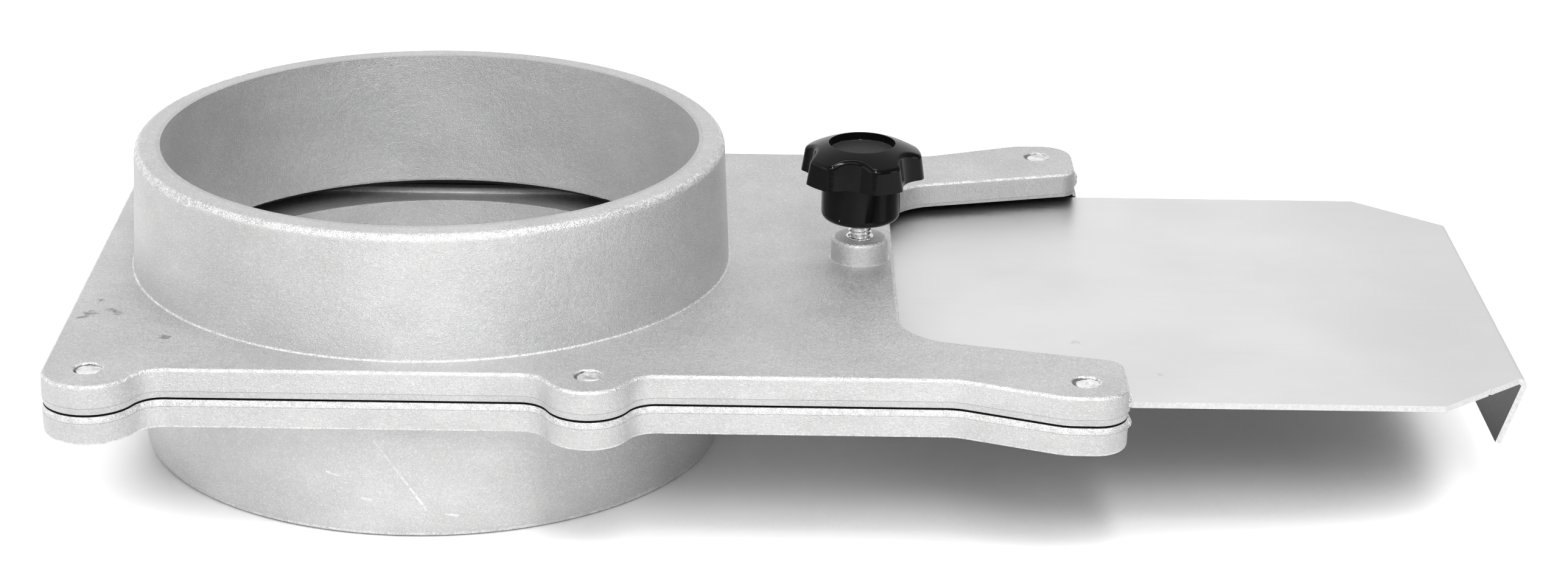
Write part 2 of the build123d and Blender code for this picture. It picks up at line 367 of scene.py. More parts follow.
# %% Finish helper
def new_finish(name, metallic, roughness):
    """A material with its shader, its tree and its Object coordinates."""
    material = bpy.data.materials.new(name)
    material.use_nodes = True
    tree = material.node_tree
    shader = tree.nodes["Principled BSDF"]
    shader.inputs["Metallic"].default_value = metallic
    shader.inputs["Roughness"].default_value = roughness
    coordinates = add(tree, "ShaderNodeTexCoord").outputs
    return material, tree, shader, coordinates


def bump(tree, shader, height, depth):
    """Feeds a height in the shader's normal. The depth is in metres."""
    made = add(tree, "ShaderNodeBump", {"Height": height, "Distance": depth, "Strength": 1.0})
    tree.links.new(made.outputs["Normal"], shader.inputs["Normal"])


def several(tree, masks):
    """The strongest of several masks."""
    found = masks[0]
    for mask in masks[1:]:
        found = calc(tree, "MAXIMUM", found, mask)
    return found


def in_metres(place):
    """A place in millimetres as a vector in metres."""
    return Vector(place) * MM


def blots(tree, place, spots, rag):
    """Ragged blots at several places, each with its radius, in millimetres."""
    settings = [{"Centre": in_metres(p), "Radius": r * MM, "Rag": rag} for p, r in spots]
    return marks(tree, RAGGED_BLOT, place, settings)


def marks(tree, group, place, settings):
    """The strongest of several marks, each made by the same group with its own settings."""
    made = [place_group(tree, group, {"Vector": place, **values}) for values in settings]
    return several(tree, [outputs["Mask"] for outputs in made])


# %% [markdown]
# ## Cast aluminium
# The castings are bare aluminium with the dull, sparkling skin that the mould leaves. The grain
# group gives both the bump and the changes of shade, and its facets are painted bright as glints.
# The rounded edges, and a band on the lower casting just under the joint, carry painted
# highlights. The wall inside the duct and the sides of the arms that face the blade are darkened
# by painted shade. The slot that the blade runs in is painted dark as shade, and its floor is
# painted bright as light. The joint's gap is painted black as shade, a fine grey line marks the
# mould's parting line on each casting, and broken bright rings at the feet of the collars and of
# the boss are painted highlights.
# A few dark smudges sit on the plate by the left rivet, and faint scratches on the lower
# collar. All these are found by their place, or by the way that the face points. The blots and
# the lines were placed where the photograph shows them, and the bands follow the CAD's sizes.

# %% Places on the castings
SMUDGES = [
    ((-79.1, -46.9, 7.5), 2.2),
    ((-73.3, -45.1, 7.5), 2.6),
    ((-78.2, -37.9, 7.5), 1.3),
    ((-80.9, -49.6, 7.5), 1.2),
    ((-58.8, -61.6, 7.5), 1.8),
    ((-42.5, -77.0, 3.6), 2.4),
    ((-38.5, -77.0, 3.0), 2.0),
]
SCRATCHES = [
    ((-8.0, -74.4, -13.0), (4.0, -74.2, -31.0)),
    ((-14.0, -73.6, -28.0), (12.0, -73.3, -33.0)),
    ((-22.0, -71.9, -22.0), (2.0, -74.1, -27.0)),
]
# Rings painted as highlights at the feet of the boss and the collars.
FOOT_HIGHLIGHT_RINGS = [((108.6, 0.0, 7.6), 7.5), ((0.0, 0.0, 7.6), 75.5), ((0.0, 0.0, -7.6), 75.5)]
CHANNEL_HALF_WIDTH = 75.0 * MM
CHANNEL_FLOOR = -2.7 * MM
CHANNEL_ROOF = 1.04 * MM
RELIEF_ROOF = 3.02 * MM
WALL_FADE = (-2.6 * MM, -0.7 * MM)
# Where the slot's floor is painted bright as light.
SLOT_FLOOR_HEIGHT = -2.6 * MM
SLOT_FLOOR_DEPTH = 0.1 * MM
SLOT_FLOOR_EDGE = (67.2 * MM, 68.0 * MM)
BODY_START = -73.5 * MM
ARM_ROOT = 112.0 * MM
ARM_SIDES = 118.0 * MM
# The heights of the band under the joint that is painted as a highlight.
JOINT_HIGHLIGHT_BAND = (-2.6 * MM, -0.6 * MM, -0.25 * MM)
JOINT_EDGE = (0.34 * MM, 0.22 * MM)
PARTING_HEIGHT = 1.9 * MM
PARTING_EDGE = (0.13 * MM, 0.04 * MM)
BORE_WALL = 68.6 * MM


def levelness(tree, normal):
    """How level a face lies: 1 for a level face and 0 for an upright one."""
    return calc(tree, "ABSOLUTE", split(tree, normal)["Z"])


def from_axis(tree, parts):
    """How far a place is from the duct's axis."""
    return length(tree, join(tree, parts["X"], parts["Y"]))


def in_channel(tree, parts):
    """Where the channel's width is."""
    return calc(tree, "LESS_THAN", calc(tree, "ABSOLUTE", parts["Y"]), CHANNEL_HALF_WIDTH)


def edge_highlight(tree, normal):
    """The rounded edges between the level faces and the upright sides, where a highlight is
    painted.
    """
    level = levelness(tree, normal)
    return product(tree, remap(tree, level, 0.2, 0.5), remap(tree, level, 0.98, 0.85))


def joint_highlight_band(tree, parts):
    """The painted highlight band on the lower casting just under the joint."""
    low, full, high = JOINT_HIGHLIGHT_BAND
    outside = calc(tree, "SUBTRACT", 1.0, in_channel(tree, parts))
    below = calc(tree, "LESS_THAN", parts["Z"], high)
    return product(tree, remap(tree, parts["Z"], low, full), below, outside)


def arm_side_shade(tree, parts, normal):
    """Painted shade on the upright sides of the arms that face the blade."""
    upright = remap(tree, levelness(tree, normal), 0.6, 0.3)
    beyond = calc(tree, "GREATER_THAN", parts["X"], ARM_SIDES)
    return product(tree, upright, in_channel(tree, parts), beyond)


def slot_shade(tree, parts):
    """Painted shade in the blade's slot: black under the arms, and shading off down its side walls
    inside.
    """
    in_arms = calc(tree, "GREATER_THAN", parts["X"], ARM_ROOT)
    in_body = calc(tree, "SUBTRACT", calc(tree, "GREATER_THAN", parts["X"], BODY_START), in_arms)
    under_arm = product(tree, in_arms, calc(tree, "LESS_THAN", parts["Z"], CHANNEL_ROOF))
    under_bore = product(tree, in_body, calc(tree, "LESS_THAN", parts["Z"], RELIEF_ROOF))
    fading = product(tree, under_bore, remap(tree, parts["Z"], *WALL_FADE))
    above = calc(tree, "GREATER_THAN", parts["Z"], CHANNEL_FLOOR)
    return product(tree, in_channel(tree, parts), above, calc(tree, "ADD", under_arm, fading))


def slot_floor_light(tree, parts):
    """Painted light on the level floor of the slot around the lower bore."""
    off = calc(tree, "ABSOLUTE", calc(tree, "SUBTRACT", parts["Z"], SLOT_FLOOR_HEIGHT))
    low = calc(tree, "LESS_THAN", off, SLOT_FLOOR_DEPTH)
    beyond = remap(tree, from_axis(tree, parts), *SLOT_FLOOR_EDGE)
    return product(tree, low, in_channel(tree, parts), beyond)


def dark_seams(tree, parts):
    """Painted shade in the black gap at the joint, and the fine parting line above and below it.
    """
    height = calc(tree, "ABSOLUTE", parts["Z"])
    off = calc(tree, "ABSOLUTE", calc(tree, "SUBTRACT", height, PARTING_HEIGHT))
    return remap(tree, height, *JOINT_EDGE), remap(tree, off, *PARTING_EDGE)


print("smudges:", len(SMUDGES), "scratches:", len(SCRATCHES), "rings:", len(FOOT_HIGHLIGHT_RINGS))

# %% Cast aluminium
CAST_GRAIN = {"Grain": 0.32 * MM, "Cloud": 22 * MM}
CAST_SKIN = {"Grain": 1.6 * MM, "Cloud": 6 * MM}
CAST_SPECKS = {"Spacing": 6 * MM, "Size": 0.05, "Share": 0.25}
CAST_BUMP = 0.24 * MM
GRAIN_STRETCH = (1.0, 1.0, 1.6)
SCRATCH_WIDTH = 0.5 * MM
RING_WIDTH = 0.25 * MM
RING_HEIGHT = 0.8 * MM


def make_cast_aluminium():
    """Grained metal, with its marks, painted highlights and painted shade laid over it one after
    another.
    """
    material, tree, shader, coordinates = new_finish("cast_aluminium", 1.0, 0.5)
    place, normal = coordinates["Object"], coordinates["Normal"]
    parts = split(tree, place)
    flat = add(tree, "ShaderNodeMapping", {"Vector": place, "Scale": GRAIN_STRETCH}).outputs[0]
    grain = place_group(tree, METAL_GRAIN, {"Vector": flat, **CAST_GRAIN})
    skin = place_group(tree, METAL_GRAIN, {"Vector": place, **CAST_SKIN})
    specks = place_group(tree, SCATTERED_SPECKS, {"Vector": place, **CAST_SPECKS})["Mask"]
    thin = {"Width": SCRATCH_WIDTH}
    lines = [{"From": in_metres(a), "To": in_metres(b), **thin} for a, b in SCRATCHES]
    # The painted highlight rings at the feet.
    low = {"Width": RING_WIDTH, "Height": RING_HEIGHT}
    foot_highlights = [{"Centre": in_metres(c), "Radius": r * MM, **low} for c, r in FOOT_HIGHLIGHT_RINGS]
    # Painted highlights on the rounded edges and on the band under the joint, in a sparkling
    # near-white.
    painted_edge_highlights = calc(tree, "MAXIMUM", edge_highlight(tree, normal), joint_highlight_band(tree, parts))
    rough = calc(tree, "MULTIPLY_ADD", grain["Height"], 1.4, product(tree, skin["Height"], 0.6))
    highlight_sparkle = blend_colour(tree, remap(tree, rough, 0.84, 1.14), grey(0.58), grey(1.0))
    # Painted shade on the wall inside the duct.
    wall = calc(tree, "LESS_THAN", from_axis(tree, parts), BORE_WALL)
    # The joint's gap is painted black as shade.
    joint, parting = dark_seams(tree, parts)
    colour = blend_colour(tree, remap(tree, grain["Shade"], 0.3, 0.7), grey(0.63), grey(0.73))
    layers = [
        # The skin's patches, the hollows between its grains, and its facets, painted bright as
        # glints.
        (remap(tree, skin["Shade"], 0.3, 0.7), 0.5, grey(0.66)),
        (remap(tree, grain["Height"], 0.55, 0.35), 0.35, grey(0.38)),
        (grain["Painted_glints"], 0.4, grey(0.95)),
        # Specks, smudges, scratches, and the rings at the feet, which are painted highlights.
        (specks, 0.5, grey(0.25)),
        (blots(tree, place, SMUDGES, 0.7), 0.6, grey(0.16)),
        (marks(tree, THIN_SCRATCH, place, lines), 0.7, grey(0.95)),
        (marks(tree, BROKEN_RING, place, foot_highlights), 0.6, grey(0.97)),
        # Painted highlights on the edges and joint, painted shade on the duct's wall and the arms'
        # sides.
        (painted_edge_highlights, 0.85, highlight_sparkle),
        (wall, 0.16, grey(0.3)),
        (arm_side_shade(tree, parts, normal), 0.5, grey(0.35)),
        # The parting lines, painted light on the slot's floor, and painted shade in the slot and
        # the joint.
        (parting, 0.35, grey(0.1)),
        (slot_floor_light(tree, parts), 0.9, grey(1.0)),
        (slot_shade(tree, parts), 0.95, grey(0.01)),
        (joint, 1.0, grey(0.01)),
    ]
    tree.links.new(paint(tree, colour, layers), shader.inputs["Base Color"])
    roughness = remap(tree, grain["Height"], 0.3, 0.7, 0.42, 0.64)
    tree.links.new(roughness, shader.inputs["Roughness"])
    height = calc(tree, "ADD", grain["Height"], product(tree, skin["Height"], 0.8))
    bump(tree, shader, height, CAST_BUMP)
    return material


CAST_ALUMINIUM = make_cast_aluminium()

# %% [markdown]
# ## Sheet metal
# The blade is a smooth rolled sheet. It mirrors its surroundings softly, with faint marks along
# its length, and it is a little darker towards the pull lip. The underside and the lip's inner
# face are darkened by painted shade. Its cut edges are rough and bright: an edge is known by its
# normal, which points sideways, while the faces point up, down or along the blade.

# %% Sheet
BLADE_MARKS = [((161.4, -35.3, -1.1), 1.5), ((180.3, -55.6, -1.1), 1.1)]
ROLLED_LINES = (18.0, 900.0, 900.0)
SHEET_GRAIN = {"Grain": 0.6 * MM, "Cloud": 50 * MM}
SHEET_SPECKS = {"Spacing": 12 * MM, "Size": 0.035, "Share": 0.35}
SHEET_BUMP = 0.1 * MM
# A band that is darker towards the pull lip.
DARKER_TOWARDS_LIP = (215 * MM, 262 * MM)


def make_sheet():
    """Softly mirroring metal with fine lines along it, painted shade underneath, and rough cut
    edges.
    """
    material, tree, shader, coordinates = new_finish("sheet_metal", 1.0, 0.38)
    place = coordinates["Object"]
    drawn = add(tree, "ShaderNodeMapping", {"Vector": place, "Scale": ROLLED_LINES}).outputs[0]
    lines = noise(tree, drawn, 1.0, 3.0)
    grain = place_group(tree, METAL_GRAIN, {"Vector": place, **SHEET_GRAIN})
    specks = place_group(tree, SCATTERED_SPECKS, {"Vector": place, **SHEET_SPECKS})["Mask"]
    facing = split(tree, coordinates["Normal"])
    cut = calc(tree, "GREATER_THAN", calc(tree, "ABSOLUTE", facing["Y"]), 0.4)
    # Painted shade on the underside and on the lip's inner face.
    under = remap(tree, facing["Z"], -0.5, -0.9, 0.0, 0.5)
    inner = remap(tree, facing["X"], -0.5, -0.8, 0.0, 0.93)
    colour = blend_colour(tree, remap(tree, grain["Shade"], 0.3, 0.7), grey(0.80), grey(0.86))
    layers = [
        # Rolled lines, specks, marks and the duller end.
        (remap(tree, lines, 0.6, 0.85), 0.12, grey(0.6)),
        (specks, 0.35, grey(0.4)),
        (blots(tree, place, BLADE_MARKS, 0.8), 0.3, grey(0.4)),
        (remap(tree, split(tree, place)["X"], *DARKER_TOWARDS_LIP), 0.3, grey(0.55)),
        # Painted shade on the underside and the lip's inner face, and then the cut edges.
        (calc(tree, "MAXIMUM", under, inner), 1.0, grey(0.08)),
        (cut, 1.0, blend_colour(tree, grain["Height"], grey(0.62), grey(0.92))),
    ]
    tree.links.new(paint(tree, colour, layers), shader.inputs["Base Color"])
    smooth = remap(tree, lines, 0.3, 0.7, 0.37, 0.41)
    roughness = calc(tree, "ADD", smooth, product(tree, cut, 0.2))
    tree.links.new(roughness, shader.inputs["Roughness"])
    relief = product(tree, grain["Height"], calc(tree, "ADD", 0.06, cut))
    bump(tree, shader, calc(tree, "ADD", relief, product(tree, lines, 0.004)), SHEET_BUMP)
    return material


SHEET_METAL = make_sheet()

# %% [markdown]
# ## Gloss black plastic
# The knob is moulded in gloss black. The floor of its dish has a matt grey texture, which is
# found by its place: inside the dish and below its rim. A few dust specks lie on the hub.

# %% Black plastic
knob_low, knob_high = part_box("star_knob")
screw_low, screw_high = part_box("lock_screw")
SCREW_CENTRE = (screw_low + screw_high) / 2
DISH_RADIUS = 8.3 * MM
DISH_FLOOR = knob_high.z - 1.8 * MM
DISH_DEPTH = 2.0 * MM
DUST = [((102.6, -7.6, 24.5), 0.22), ((103.1, -8.3, 20.2), 0.22), ((97.0, -9.8, 36.2), 0.3)]
PLASTIC_GRAIN = {"Grain": 0.45 * MM, "Cloud": 8 * MM}
PLASTIC_SPECKS = {"Spacing": 6 * MM, "Size": 0.03, "Share": 0.3}
PLASTIC_BUMP = 0.2 * MM
PLASTIC_SPECULAR = 0.16


def dish_mask(tree, parts):
    """The floor of the dish in the knob's top."""
    sideways = calc(tree, "SUBTRACT", parts["X"], SCREW_CENTRE.x)
    depth = calc(tree, "SUBTRACT", parts["Y"], SCREW_CENTRE.y)
    inside = calc(tree, "LESS_THAN", length(tree, join(tree, sideways, depth)), DISH_RADIUS)
    below = calc(tree, "LESS_THAN", parts["Z"], DISH_FLOOR)
    above = calc(tree, "GREATER_THAN", parts["Z"], DISH_FLOOR - DISH_DEPTH)
    return product(tree, inside, below, above)


def make_black_plastic():
    """Gloss black, with a matt grey dish and a little dust."""
    material, tree, shader, coordinates = new_finish("black_plastic", 0.0, 0.1)
    shader.inputs["Specular IOR Level"].default_value = PLASTIC_SPECULAR
    place = coordinates["Object"]
    dish = dish_mask(tree, split(tree, place))
    grain = place_group(tree, METAL_GRAIN, {"Vector": place, **PLASTIC_GRAIN})
    specks = place_group(tree, SCATTERED_SPECKS, {"Vector": place, **PLASTIC_SPECKS})["Mask"]
    layers = [
        (dish, 1.0, grey(0.04)),
        (specks, 0.25, grey(0.3)),
        (blots(tree, place, DUST, 0.2), 1.0, grey(0.5)),
    ]
    tree.links.new(paint(tree, grey(0.004), layers), shader.inputs["Base Color"])
    gloss = remap(tree, grain["Shade"], 0.3, 0.7, 0.08, 0.13)
    roughness = calc(tree, "ADD", gloss, product(tree, dish, 0.4))
    tree.links.new(roughness, shader.inputs["Roughness"])
    bump(tree, shader, product(tree, grain["Height"], calc(tree, "ADD", 0.02, dish)), PLASTIC_BUMP)
    return material


BLACK_PLASTIC = make_black_plastic()
print("screw axis in mm:", round(SCREW_CENTRE.x / MM, 2), round(SCREW_CENTRE.y / MM, 2))

# %% [markdown]
# ## Screw steel and rivet metal
# The stud is bright zinc-plated steel, smooth and sharp in its reflections. The rivets are soft
# aluminium, smeared and bright where the tool closed them. Each sank away from its hole on one
# side, where a thin crescent of shadow is painted on it.

# %% Screw steel and rivet metal
STEEL_GRAIN = {"Grain": 0.4 * MM, "Cloud": 3 * MM}
STEEL_BUMP = 0.03 * MM
RIVET_GRAIN = {"Grain": 0.9 * MM, "Cloud": 2 * MM}
RIVET_BUMP = 0.1 * MM
RIVETS = [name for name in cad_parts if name.startswith("rivet_")]
CRESCENT_SHIFT = Vector((0.55, -0.75, 0.0)) * MM
CRESCENT_RADIUS = 2.9 * MM


def make_screw_steel():
    """Bright, smooth steel."""
    material, tree, shader, coordinates = new_finish("screw_steel", 1.0, 0.2)
    grain = place_group(tree, METAL_GRAIN, {"Vector": coordinates["Object"], **STEEL_GRAIN})
    colour = blend_colour(tree, remap(tree, grain["Shade"], 0.3, 0.7), grey(0.85), grey(0.98))
    tree.links.new(colour, shader.inputs["Base Color"])
    roughness = remap(tree, grain["Height"], 0.3, 0.7, 0.14, 0.3)
    tree.links.new(roughness, shader.inputs["Roughness"])
    bump(tree, shader, grain["Height"], STEEL_BUMP)
    return material


def crescent(tree, place, name):
    """The painted shadow crescent on the side where a rivet's end sank away from its hole."""
    low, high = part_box(name)
    centre = (low + high) / 2 + CRESCENT_SHIFT
    off = vector_calc(tree, "SUBTRACT", place, centre)
    level = length(tree, vector_calc(tree, "MULTIPLY", off, (1.0, 1.0, 0.0)))
    out = calc(tree, "DIVIDE", level, CRESCENT_RADIUS)
    return product(tree, remap(tree, out, 1.0, 1.12), calc(tree, "LESS_THAN", out, 1.6))


def make_rivet_metal():
    """Bright, uneven aluminium with a painted shadow crescent on each rivet."""
    material, tree, shader, coordinates = new_finish("rivet_metal", 1.0, 0.4)
    place = coordinates["Object"]
    grain = place_group(tree, METAL_GRAIN, {"Vector": place, **RIVET_GRAIN})
    colour = blend_colour(tree, remap(tree, grain["Shade"], 0.35, 0.6), grey(0.78), grey(1.0))
    # A painted shadow crescent on each rivet.
    crescent_shadows = several(tree, [crescent(tree, place, name) for name in RIVETS])
    tree.links.new(paint(tree, colour, [(crescent_shadows, 0.85, grey(0.08))]), shader.inputs["Base Color"])
    roughness = remap(tree, grain["Height"], 0.3, 0.7, 0.3, 0.55)
    tree.links.new(roughness, shader.inputs["Roughness"])
    bump(tree, shader, grain["Height"], RIVET_BUMP)
    return material


SCREW_STEEL = make_screw_steel()
RIVET_METAL = make_rivet_metal()

# %% [markdown]
# ## Finishes for the CAD pieces
# The castings, the blade and the knob keep their CAD shape. Each only gets its finish.

# %% Give the CAD pieces their finishes
def finish_node(name, material):
    """Gives a CAD piece its material."""
    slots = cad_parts[name].data.materials
    slots.clear()
    slots.append(material)


finish_node("upper_casting", CAST_ALUMINIUM)
finish_node("lower_casting", CAST_ALUMINIUM)
finish_node("blade", SHEET_METAL)
finish_node("star_knob", BLACK_PLASTIC)
for name in RIVETS:
    finish_node(name, RIVET_METAL)
print("rivets:", len(RIVETS))

# %% [markdown]
# ## Geometry Nodes helpers
# The screw's thread, the rivets' closed ends and the castings' flash each follow a rule, so each
# is a Geometry Nodes tree with named inputs. The result is turned into a plain mesh, which rides
# on its body.

# %% Geometry Nodes helpers
INTEGER = "NodeSocketInt"
WELD_DISTANCE = 0.001 * MM


def geometry_tree(name, inputs):
    """A geometry tree that takes a mesh and named sizes, and gives a mesh."""
    first = {"Geometry": ("NodeSocketGeometry", None)}
    last = {"Material": ("NodeSocketMaterial", None)}
    sockets = {**first, **inputs, **last}
    return new_group(name, sockets, {"Geometry": "NodeSocketGeometry"}, "GeometryNodeTree")


def unit_grid(tree, across, down):
    """A grid, and how far each of its points is along it and down it, from 0 to 1."""
    grid = add(tree, "GeometryNodeMeshGrid", {"Vertices X": across, "Vertices Y": down})
    parts = split(tree, add(tree, "GeometryNodeInputPosition").outputs[0])
    along = calc(tree, "ADD", parts["X"], 0.5)
    return grid.outputs["Mesh"], along, calc(tree, "ADD", parts["Y"], 0.5)


def wrap(tree, radius, angle, height):
    """The place at a radius and an angle around the upright axis, at a height."""
    return join(
        tree,
        calc(tree, "MULTIPLY", radius, calc(tree, "COSINE", angle)),
        calc(tree, "MULTIPLY", radius, calc(tree, "SINE", angle)),
        height,
    )


def move_and_weld(tree, mesh, place):
    """Moves every point to its place and welds those that meet."""
    moved = add(tree, "GeometryNodeSetPosition", {"Geometry": mesh, "Position": place})
    weld = {"Geometry": moved.outputs[0], "Distance": WELD_DISTANCE}
    return add(tree, "GeometryNodeMergeByDistance", weld).outputs[0]


def roughen(tree, mesh, amount, texture):
    """Pushes every point by the colour of a noise texture, which is grey in its middle."""
    ragged = vector_calc(tree, "SUBTRACT", texture.outputs["Color"], (0.5, 0.5, 0.5))
    push = add(tree, "ShaderNodeVectorMath", {0: ragged, "Scale": amount}, operation="SCALE")
    moved = add(tree, "GeometryNodeSetPosition", {"Geometry": mesh, "Offset": push.outputs[0]})
    return moved.outputs[0]


def end_tree(tree, start, end, mesh, smooth=True):
    """Shades, realizes and paints the mesh, and puts it out."""
    shaded = add(tree, "GeometryNodeSetShadeSmooth", {"Geometry": mesh, "Shade Smooth": smooth})
    real = add(tree, "GeometryNodeRealizeInstances", {"Geometry": shaded.outputs[0]})
    finish = {"Geometry": real.outputs[0], "Material": start["Material"]}
    finished = add(tree, "GeometryNodeSetMaterial", finish)
    tree.links.new(finished.outputs[0], end["Geometry"])


def new_object(name, places=(), edges=()):
    """An object at the origin with a mesh of the given points and edges, in metres."""
    mesh = bpy.data.meshes.new(name)
    mesh.from_pydata([tuple(p) for p in places], list(edges), [])
    made = bpy.data.objects.new(name, mesh)
    bpy.context.scene.collection.objects.link(made)
    return made


def run_tree(target, tree, values):
    """Runs a tree on an object with the given values, and keeps the result as a plain mesh."""
    modifier = target.modifiers.new(tree.name, "NODES")
    modifier.node_group = tree
    sockets = [item for item in tree.interface.items_tree if item.in_out == "INPUT"]
    identifiers = {socket.name: socket.identifier for socket in sockets}
    for name, value in values.items():
        modifier[identifiers[name]] = value
    view = bpy.context.evaluated_depsgraph_get()
    result = bpy.data.meshes.new_from_object(target.evaluated_get(view))
    target.modifiers.remove(modifier)
    target.data = result
    outwards(result)
    print(target.name, "faces:", len(result.polygons))
    return target


def outwards(mesh):
    """Makes every closed shell's faces point outwards."""
    work = bmesh.new()
    work.from_mesh(mesh)
    bmesh.ops.recalc_face_normals(work, faces=work.faces)
    work.to_mesh(mesh)
    work.free()


# %% [markdown]
# ## The lock screw
# The CAD stud is plain, at the thread's outer size. The real one is an M6 screw, and its bright
# thread shows between the boss and the knob. A grid is wrapped round the axis: its first
# direction becomes the angle, its second the height, and the radius dips where the height and
# the angle together fall in a groove. The first and last rows go to the axis, which closes it.

# %% Lock screw
THREAD_PITCH = 1.0 * MM
THREAD_DEPTH = 0.61 * MM
POINT_DEPTH = 0.8 * MM
POINTS_AROUND = 49
ROWS_PER_TURN = 12
GROOVE_SLOPE = 1.25
CREST_FLAT = 0.1
LAST_ROW = 0.4999


def make_thread_tree():
    """A threaded stud around an upright axis."""
    tree, start, end = geometry_tree(
        "screw_thread",
        {
            "Radius": (FLOAT, 0.003),
            "Depth": (FLOAT, 0.0006),
            "Pitch": (FLOAT, 0.001),
            "Foot": (FLOAT, 0.0),
            "Top": (FLOAT, 0.03),
            "Point": (FLOAT, 0.0008),
            "Centre": (VECTOR, (0, 0, 0)),
            "Around": (INTEGER, POINTS_AROUND),
            "Rows": (INTEGER, 300),
        },
    )
    grid, turn, share = unit_grid(tree, start["Around"], start["Rows"])
    tall = calc(tree, "SUBTRACT", start["Top"], start["Foot"])
    height = calc(tree, "MULTIPLY_ADD", share, tall, start["Foot"])
    turns_up = calc(tree, "DIVIDE", height, start["Pitch"])
    phase = calc(tree, "FRACT", calc(tree, "SUBTRACT", turns_up, turn))
    ridge = calc(tree, "ABSOLUTE", calc(tree, "MULTIPLY_ADD", phase, 2.0, -1.0))
    groove = calc(tree, "MULTIPLY_ADD", ridge, GROOVE_SLOPE, -CREST_FLAT, clamp=True)
    radius = calc(tree, "SUBTRACT", start["Radius"], product(tree, groove, start["Depth"]))
    rise = calc(tree, "SUBTRACT", height, start["Foot"])
    taper = calc(tree, "ADD", calc(tree, "SUBTRACT", start["Radius"], start["Point"]), rise)
    from_middle = calc(tree, "ABSOLUTE", calc(tree, "SUBTRACT", share, 0.5))
    open_row = calc(tree, "LESS_THAN", from_middle, LAST_ROW)
    radius = product(tree, calc(tree, "MINIMUM", radius, taper), open_row)
    wrapped = wrap(tree, radius, product(tree, turn, 2 * pi), height)
    placed = vector_calc(tree, "ADD", wrapped, start["Centre"])
    end_tree(tree, start, end, move_and_weld(tree, grid, placed))
    return tree


turns = (screw_high.z - screw_low.z) / THREAD_PITCH
lock_thread = run_tree(
    new_object("lock_thread"),
    make_thread_tree(),
    {
        "Radius": (screw_high.x - screw_low.x) / 2,
        "Depth": THREAD_DEPTH,
        "Pitch": THREAD_PITCH,
        "Foot": screw_low.z,
        "Top": screw_high.z,
        "Point": POINT_DEPTH,
        "Centre": (SCREW_CENTRE.x, SCREW_CENTRE.y, 0.0),
        "Around": POINTS_AROUND,
        "Rows": int(turns * ROWS_PER_TURN),
        "Material": SCREW_STEEL,
    },
)
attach(lock_thread, "screw")
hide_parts("lock_screw")

# %% [markdown]
# ## The rivets' closed ends
# Each rivet was closed with a hammer or a press, which smeared its end into an uneven button in
# the mouth of its hole. One round button is laid on each rivet end, turned by a random angle,
# and then roughened by noise that reads its own place, so that no two are alike.

# %% Rivet ends
BUTTON_RADIUS = 3.3 * MM
BUTTON_HEIGHT = 0.22 * MM
BUTTON_RAGGEDNESS = 1.4 * MM
BUTTON_SEED = 7
BUTTON_NOISE = {"Scale": 520.0, "Detail": 2.0}
RING_POINTS = 40
RINGS = 14


def make_button_tree():
    """One flat, ragged button on every point."""
    tree, start, end = geometry_tree(
        "rivet_buttons",
        {
            "Radius": (FLOAT, 0.0033),
            "Height": (FLOAT, 0.0002),
            "Roughness": (FLOAT, 0.0002),
            "Around": (INTEGER, RING_POINTS),
            "Rings": (INTEGER, RINGS),
            "Seed": (INTEGER, 3),
        },
    )
    grid, turn, share = unit_grid(tree, start["Around"], start["Rings"])
    swing = product(tree, share, pi)
    out = product(tree, calc(tree, "SINE", swing), start["Radius"])
    lift = product(tree, calc(tree, "COSINE", swing), start["Height"])
    button = move_and_weld(tree, grid, wrap(tree, out, product(tree, turn, 2 * pi), lift))
    spin = add(tree, "FunctionNodeRandomValue", {"Seed": start["Seed"]}, data_type="FLOAT_VECTOR")
    spin.inputs["Min"].default_value = (0.0, 0.0, 0.0)
    spin.inputs["Max"].default_value = (0.0, 0.0, 2 * pi)
    laid = add(
        tree,
        "GeometryNodeInstanceOnPoints",
        {"Points": start["Geometry"], "Instance": button, "Rotation": spin.outputs["Value"]},
    )
    real = add(tree, "GeometryNodeRealizeInstances", {"Geometry": laid.outputs[0]})
    place = add(tree, "GeometryNodeInputPosition").outputs[0]
    texture = add(tree, "ShaderNodeTexNoise", {"Vector": place, **BUTTON_NOISE})
    end_tree(tree, start, end, roughen(tree, real.outputs[0], start["Roughness"], texture))
    return tree


def rivet_ends():
    """The middle of both ends of every rivet."""
    for name in RIVETS:
        low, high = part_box(name)
        middle = (low + high) / 2
        yield (middle.x, middle.y, high.z)
        yield (middle.x, middle.y, low.z)


rivet_buttons = run_tree(
    new_object("rivet_buttons", rivet_ends()),
    make_button_tree(),
    {
        "Radius": BUTTON_RADIUS,
        "Height": BUTTON_HEIGHT,
        "Roughness": BUTTON_RAGGEDNESS,
        "Around": RING_POINTS + 1,
        "Rings": RINGS,
        "Seed": BUTTON_SEED,
        "Material": RIVET_METAL,
    },
)
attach(rivet_buttons, "housing")

# %% [markdown]
# ## Flash on the arms
# The moulds leaked a little at the ends of the arms, and the thin metal was broken off. What is
# left is a ragged, sparkling bead on each end, above and below the joint, and one more up the
# inner corner of the back arm. A curve runs along each, a small profile is swept along the
# curve, and noise roughens the result.

